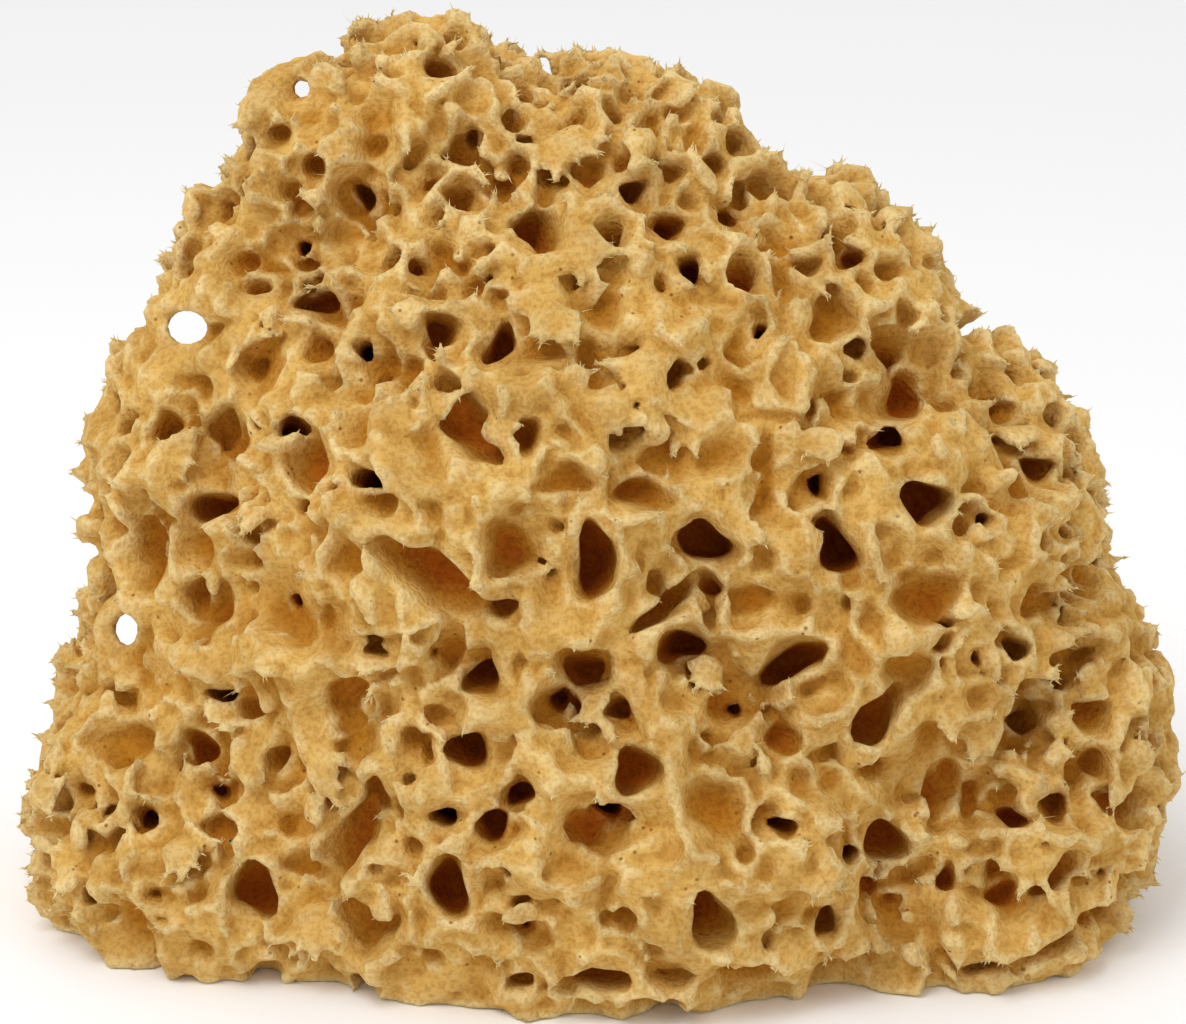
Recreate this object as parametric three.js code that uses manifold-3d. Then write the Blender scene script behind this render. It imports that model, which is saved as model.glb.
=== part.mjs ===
// A natural sea sponge, dried and cleaned: one continuous lump of springy fibre, cut flat underneath where it
// grew on rock. Millimetres, +Z up. The origin is the middle of the flat cut, and the broad face looks to -Y.
import * as THREE from "three";
import { mergeVertices } from "three/addons/utils/BufferGeometryUtils.js";
import Module from "manifold-3d";

// Driving dimensions of the whole sponge, spine tips included.
const WIDTH = 150;
const DEPTH = 99;
const HEIGHT = 114;

// The lobes that the sponge grew in: centre x, y, z and radii x, y, z.
const LOBE_BLEND = 10; // they flow into each other over this width
const LOBES = [
  [-2, 2, 12, 69, 44, 89], // body
  [-45, -14, 7, 26, 25, 18], // foot, front left
  [46, -17, 9, 24, 24, 22], // foot, front right
  [-46, 17, 10, 25, 24, 24], // foot, back left
  [47, 16, 7, 25, 26, 18], // foot, back right
  [3, -30, 16, 36, 20, 26], // belly, low
  [-14, -20, 52, 30, 20, 26], // belly, high
  [34, -16, 44, 24, 20, 26], // belly, right
  [-16, 30, 34, 30, 18, 28], // back, low
  [24, 24, 56, 26, 17, 26], // back, high
  [-21, 8, 99, 15, 17, 15], // crown, left
  [-34, 5, 94, 10, 13, 13], // crown, outer left
  [6, 8, 94, 16, 17, 14], // crown, middle
  [30, 5, 79, 14, 18, 17], // right shoulder
  [-40, 4, 78, 11, 17, 17], // left shoulder
  [-54, -1, 56, 11, 18, 17], // left flank
  [53, 2, 50, 12, 22, 21], // right flank
  [61, -4, 19, 12, 24, 21], // right hip
  [-62, -2, 17, 11, 24, 20], // left hip
  [-66, -6, 4, 8, 16, 10], // left heel
];
const HEART = new THREE.Vector3(0, 0, 38); // every point of the skin can be seen from here
const SKIN_DETAIL = 10; // subdivisions of each icosahedron face
const SKIN_REACH = 110; // farther from the heart than any lobe
const SEARCH_STEP = 1; // of a walk towards the skin
const SEARCH_HALVINGS = 12; // of its last step
const SLOPE_STEP = 0.5; // over which the skin's slope is measured
const SAME_POINT = 1e-4; // corners closer than this are one

// The front face leans back, so its openings are laid out on a plane that leans with it: x across, u up it.
const FACE_LEAN = THREE.MathUtils.degToRad(18);
const INTO_FACE = new THREE.Vector3(0, Math.cos(FACE_LEAN), -Math.sin(FACE_LEAN));
const UP_FACE = new THREE.Vector3(0, Math.sin(FACE_LEAN), Math.cos(FACE_LEAN));

// The large openings of the front face: x, u, width, height, turn in degrees, depth.
const FRONT_OPENINGS = [
  // crown and shoulders
  [-50, 70, 4, 3.5, -20, 60],
  [-29, 87, 2.5, 4, 30, 10],
  [-16, 87, 4, 3.5, 0, 6],
  [-7, 82, 5, 5.5, 0, 8],
  [-19, 70, 4, 4, 0, 8],
  [-12, 68, 2.5, 5.5, -15, 9],
  [-35, 73, 7, 3, 10, 9],
  [4, 87, 3.5, 2.5, 0, 9],
  [9, 83, 3.5, 2.5, 0, 9],
  [11, 78, 2.5, 3.5, 0, 11],
  [17, 93, 3.5, 3.5, 0, 7],
  [30, 79, 4, 3, 20, 9],
  [31, 68, 4, 3, 0, 8],
  // left flank
  [-53, 59, 4, 3.5, 0, 7],
  [-46, 58, 4.5, 6, 0, 5],
  [-38, 58, 3.5, 2.5, 20, 14],
  [-28, 52, 4.5, 3, -15, 22],
  [-48, 48, 7, 4, 10, 14],
  [-59, 33, 2.5, 3.5, 0, 50],
  // right flank
  [37, 62, 6, 7.5, 0, 16],
  [36, 56, 4, 3.5, 0, 26],
  [50, 60, 5, 3, 30, 12],
  [54, 53, 4.5, 3, 20, 10],
  [40, 48, 6, 5.5, 0, 20],
  [29, 43, 5, 6, 20, 26],
  [39, 37, 8, 6, 0, 6],
  [54, 37, 5.5, 4.5, 0, 6],
  [51, 31, 3.5, 3.5, 0, 8],
  [55, 23, 3.5, 3, 0, 6],
  [62, 22, 6, 4, 0, 7],
  // middle
  [-20, 39, 5, 16, 52, 6],
  [-1, 42, 5, 9.5, 0, 13],
  [14, 44, 6.5, 4.5, 0, 17],
  [14, 39, 3.5, 2.5, -20, 9],
  [9, 32, 6, 4, 20, 26],
  [22, 30, 8.5, 4.5, 25, 20],
  [-3, 29, 4, 4.5, 0, 13],
  [-14, 28, 4.5, 4, 0, 9],
  [-15, 20, 5.5, 4.5, 0, 12],
  [22, 22, 4.5, 4, 0, 6],
  [34, 23, 5, 8, -35, 9],
  // foot
  [-18, 12, 3.5, 2.5, 0, 20],
  [-9, 15, 2.5, 3, 0, 15],
  [-12, 10, 4.5, 4.5, -35, 12],
  [-18, 3, 6, 7.5, 10, 14],
  [-56, 10, 3, 3, 0, 16],
  [-50, 19, 4, 4.5, 0, 8],
  [-42, 1, 5.5, 8, 10, 9],
  [-31, 8, 5.5, 12, -25, 7],
  [4, 17, 5.5, 6, 0, 9],
  [1, 12, 4.5, 2.5, -15, 30],
  [14, -1, 5.5, 7, 0, 9],
  [22, 11, 3.5, 2.5, 0, 10],
  [35, 8, 6, 6.5, 0, 16],
];
const FRONT_SIDES = 7;

// Smaller pits that cover the crown, the sides and the back, spread evenly by the golden angle.
const PIT_COUNT = 120;
const PIT_SIDES = 5;
const PIT_WIDTHS = [4.2, 6, 5, 7.4, 4.6]; // taken in turn
const PIT_HEIGHT_SHARE = 0.8; // of its width
const PIT_DEPTH_SHARE = 1.3; // of its width
const PIT_FOOT_CLEARANCE = 7; // no pit breaks the rim of the flat cut
const PIT_WALL = 2.2; // the least fibre left between two mouths
const FRONT_FACING = -0.45; // y of a direction from the heart, under which the front openings are enough

// A tapered opening: radius as a share of the mouth's, and depth as a share of the whole.
const OPENING_PROFILE = [
  [0, 1],
  [0.5, 0.92],
  [0.86, 0.45],
  [1, 0],
];
const MOUTH_FLARE = 1.2; // the cut is this much wider where it leaves the skin
const MOUTH_REACH = 3; // and starts this far outside it

const wasm = await Module();
wasm.setup();

// The solid of a closed three.js geometry. Faces with no area, as at a lathe's poles, are left out.
function solidOf(geometry) {
  const bare = geometry.clone();
  bare.deleteAttribute("normal");
  bare.deleteAttribute("uv");
  const merged = mergeVertices(bare, SAME_POINT);
  const corners = merged.index.array;
  const kept = [];
  for (let i = 0; i < corners.length; i += 3) {
    const [a, b, c] = [corners[i], corners[i + 1], corners[i + 2]];
    if (a !== b && b !== c && c !== a) kept.push(a, b, c);
  }
  const vertProperties = new Float32Array(merged.attributes.position.array);
  const closed = (triangles) => {
    const triVerts = new Uint32Array(triangles);
    return new wasm.Manifold(new wasm.Mesh({ numProp: 3, vertProperties, triVerts }));
  };
  const made = closed(kept);
  return made.volume() > 0 ? made : closed(kept.reverse());
}

// The geometry of a solid, with flat faces.
function geometryOf(solid) {
  const mesh = solid.getMesh();
  const geometry = new THREE.BufferGeometry();
  geometry.setAttribute("position", new THREE.BufferAttribute(new Float32Array(mesh.vertProperties), 3));
  geometry.setIndex(new THREE.BufferAttribute(new Uint32Array(mesh.triVerts), 1));
  geometry.computeVertexNormals();
  return geometry;
}

// Joins two distances smoothly over a width of LOBE_BLEND.
function blended(a, b) {
  const share = Math.max(LOBE_BLEND - Math.abs(a - b), 0) / LOBE_BLEND;
  return Math.min(a, b) - (share * share * LOBE_BLEND) / 4;
}

// Roughly how far a point lies outside the lobes, in millimetres: negative inside.
function outside(point) {
  return LOBES.map(([x, y, z, a, b, c]) => {
    const scaled = new THREE.Vector3((point.x - x) / a, (point.y - y) / b, (point.z - z) / c);
    const steepness = new THREE.Vector3(scaled.x / a, scaled.y / b, scaled.z / c).length();
    return (scaled.length() * (scaled.length() - 1)) / Math.max(steepness, Number.EPSILON);
  }).reduce(blended);
}

// Where a straight line first meets the lobes, from start along direction, or null if it misses them.
function firstTouch(start, direction, reach) {
  const at = (along) => start.clone().addScaledVector(direction, along);
  for (let along = 0; along < reach; along += SEARCH_STEP) {
    if (outside(at(along)) > 0) continue;
    let [low, high] = [along - SEARCH_STEP, along];
    for (let i = 0; i < SEARCH_HALVINGS; i += 1) {
      const middle = (low + high) / 2;
      if (outside(at(middle)) > 0) low = middle;
      else high = middle;
    }
    return at(high);
  }
  return null;
}

// Where the skin lies in a direction from the heart.
function skinPoint(direction) {
  const far = HEART.clone().addScaledVector(direction, SKIN_REACH);
  return firstTouch(far, direction.clone().negate(), SKIN_REACH);
}

// The outward direction of the lobes' surface at a point.
function skinNormal(point) {
  const slope = (axis) => {
    const offset = new THREE.Vector3().setComponent(axis, SLOPE_STEP);
    return outside(point.clone().add(offset)) - outside(point.clone().sub(offset));
  };
  return new THREE.Vector3(slope(0), slope(1), slope(2)).normalize();
}

// The lump before any opening is cut: an icosphere drawn out to the lobes, cut off flat at the foot.
function makeLump() {
  const skin = new THREE.IcosahedronGeometry(1, SKIN_DETAIL);
  const places = skin.attributes.position;
  for (let i = 0; i < places.count; i += 1) {
    const touch = skinPoint(new THREE.Vector3().fromBufferAttribute(places, i).normalize());
    places.setXYZ(i, touch.x, touch.y, touch.z);
  }
  const reach = 2 * SKIN_REACH;
  const above = new THREE.BoxGeometry(2 * reach, 2 * reach, reach).translate(0, 0, reach / 2);
  return solidOf(skin).intersect(solidOf(above));
}

// The cutter of one opening, its mouth at a point, going in against outward. across is its width's direction.
function makeCutter(mouth, outward, across, width, height, depth, sides) {
  const profile = OPENING_PROFILE.map(([radius, down]) => new THREE.Vector2(radius, -down * depth));
  profile.push(new THREE.Vector2(MOUTH_FLARE, MOUTH_REACH), new THREE.Vector2(0, MOUTH_REACH));
  const cutter = new THREE.LatheGeometry(profile, sides);
  const side = across.clone().addScaledVector(outward, -across.dot(outward)).normalize();
  const third = new THREE.Vector3().crossVectors(side, outward);
  const placed = new THREE.Matrix4().makeBasis(side, outward, third).setPosition(mouth);
  cutter.scale(width / 2, 1, height / 2).applyMatrix4(placed);
  return solidOf(cutter);
}

// The cutters of the front face's openings, each driven straight into the leaning face.
function frontCutters() {
  const outward = INTO_FACE.clone().negate();
  return FRONT_OPENINGS.map(([x, u, width, height, turn, depth]) => {
    const onFace = new THREE.Vector3(x, 0, 0).addScaledVector(UP_FACE, u);
    const start = onFace.addScaledVector(INTO_FACE, -SKIN_REACH);
    const mouth = firstTouch(start, INTO_FACE, 2 * SKIN_REACH);
    const across = new THREE.Vector3(1, 0, 0).applyAxisAngle(outward, THREE.MathUtils.degToRad(turn));
    const solid = makeCutter(mouth, outward, across, width, height, depth, FRONT_SIDES);
    return { mouth, radius: Math.max(width, height) / 2, solid };
  });
}

// The cutters of the pits everywhere else, clear of each other and of the front openings.
function pitCutters(taken) {
  const goldenAngle = Math.PI * (3 - Math.sqrt(5));
  const made = [];
  for (let i = 0; i < PIT_COUNT; i += 1) {
    const height = 1 - (2 * i + 1) / PIT_COUNT;
    const ring = Math.sqrt(1 - height * height);
    const turn = i * goldenAngle;
    const direction = new THREE.Vector3(ring * Math.cos(turn), ring * Math.sin(turn), height);
    const mouth = skinPoint(direction);
    const width = PIT_WIDTHS[i % PIT_WIDTHS.length];
    if (mouth.z < PIT_FOOT_CLEARANCE || direction.y < FRONT_FACING) continue;
    const clear = (other) => mouth.distanceTo(other.mouth) > other.radius + width / 2 + PIT_WALL;
    if (![...taken, ...made].every(clear)) continue;
    const outward = skinNormal(mouth);
    const across = new THREE.Vector3(Math.cos(i), Math.sin(i), 0);
    const [high, deep] = [width * PIT_HEIGHT_SHARE, width * PIT_DEPTH_SHARE];
    const solid = makeCutter(mouth, outward, across, width, high, deep, PIT_SIDES);
    made.push({ mouth, radius: width / 2, solid });
  }
  return made;
}

// The lump with every opening cut, moved and stretched to the driving dimensions.
function makeSponge() {
  const front = frontCutters();
  const cutters = [...front, ...pitCutters(front)];
  const pierced = cutters.reduce((body, cutter) => body.subtract(cutter.solid), makeLump());
  const geometry = geometryOf(pierced);
  geometry.computeBoundingBox();
  const size = geometry.boundingBox.getSize(new THREE.Vector3());
  const middle = geometry.boundingBox.getCenter(new THREE.Vector3());
  geometry.translate(-middle.x, -middle.y, -geometry.boundingBox.min.z);
  geometry.scale(WIDTH / size.x, DEPTH / size.y, HEIGHT / size.z);
  return geometry;
}

const fibre = new THREE.MeshStandardMaterial({ color: 0xc9974f, roughness: 0.95, metalness: 0 });
const sponge = new THREE.Mesh(makeSponge(), fibre);
sponge.name = "sponge";

const part = new THREE.Group();
part.add(sponge);

export default part;
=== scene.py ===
"""A natural sea sponge on a pale studio floor.

The lump is grown as a distance field on a voxel grid. Lobes give its outer shape, crowded cells give its
ridges, ragged flaps are raised on it, and hollows, pits and deep openings are cut into it. The surface of the
field becomes one mesh, and a second mesh holds the stiff points and loose fibres that stand on its ridges.

Everything is grown in the lobes' own millimetres and then fitted to the part's box, in metres.
"""

import logging
import math
from dataclasses import dataclass, field, replace
from enum import Enum

import bpy
import numpy as np
import openvdb
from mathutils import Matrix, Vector

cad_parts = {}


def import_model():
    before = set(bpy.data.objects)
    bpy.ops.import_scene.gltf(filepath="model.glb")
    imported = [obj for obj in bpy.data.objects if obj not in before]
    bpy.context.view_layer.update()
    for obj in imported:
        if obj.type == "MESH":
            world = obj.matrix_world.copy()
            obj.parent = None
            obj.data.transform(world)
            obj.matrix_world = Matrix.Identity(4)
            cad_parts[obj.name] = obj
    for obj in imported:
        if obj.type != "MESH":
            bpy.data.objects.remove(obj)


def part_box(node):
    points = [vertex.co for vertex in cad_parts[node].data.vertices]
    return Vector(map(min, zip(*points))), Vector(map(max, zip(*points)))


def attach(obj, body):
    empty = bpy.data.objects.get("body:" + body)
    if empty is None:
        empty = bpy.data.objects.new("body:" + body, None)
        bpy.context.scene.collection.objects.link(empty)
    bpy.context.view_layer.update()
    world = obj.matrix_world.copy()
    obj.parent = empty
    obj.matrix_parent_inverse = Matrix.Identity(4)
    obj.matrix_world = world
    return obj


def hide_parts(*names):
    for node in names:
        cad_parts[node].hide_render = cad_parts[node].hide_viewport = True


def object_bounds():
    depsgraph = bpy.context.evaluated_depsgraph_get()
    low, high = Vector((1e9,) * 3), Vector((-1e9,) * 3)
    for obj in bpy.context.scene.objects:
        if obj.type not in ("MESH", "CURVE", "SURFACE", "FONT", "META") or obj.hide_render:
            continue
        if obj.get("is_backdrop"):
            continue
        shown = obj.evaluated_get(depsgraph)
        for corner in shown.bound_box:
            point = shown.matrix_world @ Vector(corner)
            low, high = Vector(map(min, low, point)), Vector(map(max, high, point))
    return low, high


LOG = logging.getLogger("sea_sponge")
Triple = tuple[float, float, float]
Window = tuple[slice, slice, slice]

MARGIN = 2.0  # millimetres of grid that are worked on past whatever is cut or raised
NOWHERE = 1e3  # millimetres, farther off than any place on the sponge


def smooth_min(a: np.ndarray, b: np.ndarray, width: float) -> np.ndarray:
    """Returns the smaller of two distances, rounded where they meet over width."""
    share = np.maximum(width - np.abs(a - b), 0) / width
    return np.minimum(a, b) - share * share * width * 0.25


def smooth_max(a: np.ndarray, b: np.ndarray, width: float) -> np.ndarray:
    """Returns the larger of two distances, rounded where they meet over width."""
    return -smooth_min(-a, -b, width)


def unit(vector: np.ndarray) -> np.ndarray:
    """Returns a vector, or each row of an array of them, at length one."""
    return vector / np.maximum(np.linalg.norm(vector, axis=-1, keepdims=True), 1e-9)


def stretch_axis(values: np.ndarray, axis: int, places: np.ndarray) -> np.ndarray:
    """Resamples a grid along one axis by straight lines between its layers.

    Args:
        values: The grid.
        axis: The axis to resample.
        places: Where the new layers lie, counted in the old ones.

    Returns:
        The grid with len(places) layers along that axis.
    """
    low = np.clip(places.astype(np.int32), 0, values.shape[axis] - 2)
    share = (places - low).astype(np.float32)
    shape = [1, 1, 1]
    shape[axis] = len(places)
    share = share.reshape(shape)
    return np.take(values, low, axis) * (1 - share) + np.take(values, low + 1, axis) * share


def box_blur(values: np.ndarray, reach: int) -> np.ndarray:
    """Averages a grid over a cube round each voxel.

    Args:
        values: The grid.
        reach: How many voxels the cube reaches each way.

    Returns:
        The averaged grid.
    """
    for axis in range(3):
        padding = [(reach + 1, reach) if a == axis else (0, 0) for a in range(3)]
        total = np.cumsum(np.pad(values, padding, mode="edge"), axis, dtype=np.float32)
        count = values.shape[axis]
        far = np.take(total, np.arange(count) + 2 * reach + 1, axis)
        near = np.take(total, np.arange(count), axis)
        values = (far - near) / (2 * reach + 1)
    return values


def largest_body(points: np.ndarray, triangles: np.ndarray) -> tuple[np.ndarray, np.ndarray]:
    """Leaves out the crumbs and sealed bubbles that hang on nothing.

    Args:
        points: The mesh's points, one row each.
        triangles: The mesh's triangles, as numbers of points.

    Returns:
        The points and the triangles of the mesh's largest connected piece.
    """
    labels = np.arange(len(points))
    edges = np.concatenate([triangles[:, [0, 1]], triangles[:, [1, 2]]])
    while True:
        lowest = np.minimum(labels[edges[:, 0]], labels[edges[:, 1]])
        fresh = labels.copy()
        np.minimum.at(fresh, edges[:, 0], lowest)
        np.minimum.at(fresh, edges[:, 1], lowest)
        fresh = np.minimum(fresh, fresh[fresh])
        fresh = fresh[fresh]
        if np.array_equal(fresh, labels):
            break
        labels = fresh
    biggest = np.bincount(labels).argmax()
    kept = triangles[labels[triangles[:, 0]] == biggest]
    used, renumbered = np.unique(kept, return_inverse=True)
    return points[used], renumbered.reshape(-1, 3)


def mesh_object(
    name: str, points: np.ndarray, triangles: np.ndarray, smooth: bool = True
) -> bpy.types.Object:
    """Makes a mesh object and puts it in the scene.

    Args:
        name: The object's name.
        points: Its points, one row each.
        triangles: Its triangles, as numbers of points.
        smooth: Whether it is smooth-shaded, and flat if not.

    Returns:
        The object.
    """
    mesh = bpy.data.meshes.new(name)
    mesh.vertices.add(len(points))
    mesh.vertices.foreach_set("co", points.astype(np.float32).ravel())
    mesh.loops.add(len(triangles) * 3)
    mesh.loops.foreach_set("vertex_index", triangles.astype(np.int32).ravel())
    mesh.polygons.add(len(triangles))
    mesh.polygons.foreach_set("loop_start", np.arange(len(triangles), dtype=np.int32) * 3)
    mesh.polygons.foreach_set("use_smooth", np.full(len(triangles), smooth))
    mesh.update(calc_edges=True)
    made = bpy.data.objects.new(name, mesh)
    bpy.context.scene.collection.objects.link(made)
    return made


def mesh_points(mesh: bpy.types.Mesh) -> np.ndarray:
    """Reads a mesh's points.

    Args:
        mesh: The mesh.

    Returns:
        The points, one row each.
    """
    places = np.empty(len(mesh.vertices) * 3, np.float32)
    mesh.vertices.foreach_get("co", places)
    return places.reshape(-1, 3)


def add_guides(mesh: bpy.types.Mesh, guides: dict[str, np.ndarray]) -> None:
    """Writes named values onto a mesh's points.

    Args:
        mesh: The mesh.
        guides: For each name, a value for each point.
    """
    for name, values in guides.items():
        attribute = mesh.attributes.new(name, "FLOAT", "POINT")
        attribute.data.foreach_set("value", values.astype(np.float32))


@dataclass(frozen=True)
class Lobes:
    """The lobes that the sponge grew in, in millimetres. Each is a centre x, y, z and radii x, y, z."""

    blend: float = 10.0
    rows: tuple[tuple[float, ...], ...] = (
        (-2, 2, 12, 69, 44, 89),  # body
        (-45, -14, 7, 26, 25, 18),  # foot, front left
        (46, -17, 9, 24, 24, 22),  # foot, front right
        (-46, 17, 10, 25, 24, 24),  # foot, back left
        (47, 16, 7, 25, 26, 18),  # foot, back right
        (3, -30, 16, 36, 20, 26),  # belly, low
        (-14, -20, 52, 30, 20, 26),  # belly, high
        (34, -16, 44, 24, 20, 26),  # belly, right
        (-16, 30, 34, 30, 18, 28),  # back, low
        (24, 24, 56, 26, 17, 26),  # back, high
        (-21, 8, 99, 15, 17, 15),  # crown, left
        (-37.5, 5, 93, 12.5, 14, 15),  # crown, outer left
        (3, 8, 95, 17, 17, 14),  # crown, middle
        (31, 5, 77, 14, 18, 16),  # right shoulder
        (-44, 4, 77, 13, 17, 17),  # left shoulder
        (-56, -1, 57, 11, 18, 15),  # left flank
        (53, 2, 50, 12, 22, 21),  # right flank
        (62, -4, 22, 12, 24, 22),  # right hip
        (-62, -2, 15, 11, 24, 19),  # left hip
        (-66, -6, 4, 8, 16, 10),  # left heel
    )

    def outside(self, points: np.ndarray) -> np.ndarray:
        """Measures roughly how far points lie outside the lobes.

        Args:
            points: The points, with x, y and z along the last axis.

        Returns:
            The distance of each point, in millimetres, negative inside.
        """
        found = None
        for row in self.rows:
            radii = np.array(row[3:], np.float32)
            scaled = (points - np.array(row[:3], np.float32)) / radii
            length = np.linalg.norm(scaled, axis=-1)
            steepness = np.maximum(np.linalg.norm(scaled / radii, axis=-1), 1e-6)
            distance = length * (length - 1) / steepness
            found = distance if found is None else smooth_min(found, distance, self.blend)
        return found

    def slopes(self, points: np.ndarray) -> np.ndarray:
        """Finds the way out of the lobes at points.

        Args:
            points: The points, one row each.

        Returns:
            The outward direction at each point.
        """
        offsets = np.eye(3, dtype=np.float32) * 0.5
        steps = [self.outside(points + o) - self.outside(points - o) for o in offsets]
        return unit(np.stack(steps, -1))


class VoxelField:
    """A distance field on a voxel grid, in millimetres: negative inside the sponge."""

    def __init__(self, low: Triple, high: Triple, step: float) -> None:
        """Lays out an empty grid.

        Args:
            low: The grid's lowest corner.
            high: The grid's highest corner.
            step: The side of a voxel.
        """
        self.step = step
        self.low = np.array(low, np.float32)
        self.shape = tuple(int(math.ceil((b - a) / step)) + 1 for a, b in zip(low, high))
        self.values = np.zeros(self.shape, np.float32)

    def axis(self, number: int) -> np.ndarray:
        """Returns where the grid's layers lie along an axis."""
        return self.low[number] + np.arange(self.shape[number], dtype=np.float32) * self.step

    def fill_from(self, lobes: Lobes, coarse: float) -> None:
        """Fills the grid with the lobes' distances.

        Args:
            lobes: The lobes.
            coarse: The side of the larger voxels that the distances are worked out on.
        """
        ends = [self.axis(a)[-1] for a in range(3)]
        layers = [np.arange(self.low[a], ends[a] + 2 * coarse, coarse, dtype=np.float32) for a in range(3)]
        values = lobes.outside(np.stack(np.meshgrid(*layers, indexing="ij"), -1))
        for a in range(3):
            values = stretch_axis(values, a, (self.axis(a) - self.low[a]) / coarse)
        self.values = values.astype(np.float32)

    def noise(self, size: float, rng: np.random.Generator) -> np.ndarray:
        """Makes soft random values.

        Args:
            size: Over how many millimetres they change.
            rng: Where the random draws come from.

        Returns:
            A value for each voxel, mostly from -1 to 1.
        """
        counts = [int(n * self.step / size) + 3 for n in self.shape]
        values = rng.uniform(-1, 1, counts).astype(np.float32)
        for a in range(3):
            places = np.arange(self.shape[a]) * self.step / size
            whole = np.floor(places)
            part = places - whole
            values = stretch_axis(values, a, whole + part * part * (3 - 2 * part))
        return values

    def window(self, centre: np.ndarray, reach: float) -> Window | None:
        """Finds the part of the grid round a point.

        Args:
            centre: The point.
            reach: How far that part reaches from it along each axis.

        Returns:
            The part of the grid, or None where it has no voxel.
        """
        slices = []
        for a in range(3):
            first = max(int((centre[a] - reach - self.low[a]) / self.step), 0)
            last = min(int((centre[a] + reach - self.low[a]) / self.step) + 2, self.shape[a])
            if last - first < 2:
                return None
            slices.append(slice(first, last))
        return tuple(slices)

    def local(self, window: Window, origin: np.ndarray, axes: np.ndarray) -> list[np.ndarray]:
        """Measures voxels along three axes of their own.

        Args:
            window: The part of the grid.
            origin: Where the three axes start.
            axes: Their directions, one row each.

        Returns:
            Each voxel's coordinate, one grid for each axis.
        """
        spans = [self.axis(a)[window[a]] - origin[a] for a in range(3)]
        x, y, z = spans[0][:, None, None], spans[1][None, :, None], spans[2][None, None, :]
        return [x * axis[0] + y * axis[1] + z * axis[2] for axis in axes]

    def sample(self, values: np.ndarray, points: np.ndarray) -> np.ndarray:
        """Reads a grid at points, by straight lines between voxels.

        Args:
            values: A grid of this one's shape.
            points: The points, one row each.

        Returns:
            The value at each point.
        """
        places = (points - self.low) / self.step
        limit = np.array(self.shape) - 2
        low = np.clip(places.astype(np.int32), 0, limit)
        share = np.clip(places - low, 0, 1)
        total = np.zeros(len(points), np.float32)
        for corner in range(8):
            offset = np.array([corner >> 2 & 1, corner >> 1 & 1, corner & 1])
            weight = np.prod(np.where(offset, share, 1 - share), axis=1)
            x, y, z = (low + offset).T
            total += weight * values[x, y, z]
        return total

    def surface(self) -> tuple[np.ndarray, np.ndarray]:
        """Finds the surface where the field is zero.

        Returns:
            Its points, in millimetres, and its triangles.
        """
        band = np.float32(3 * self.step)
        grid = openvdb.FloatGrid(float(band))
        grid.copyFromArray(np.clip(self.values, -band, band))
        points, quads = grid.convertToQuads(isovalue=0.0)
        triangles = np.concatenate([quads[:, [0, 1, 2]], quads[:, [0, 2, 3]]])
        return points * self.step + self.low, triangles


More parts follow.
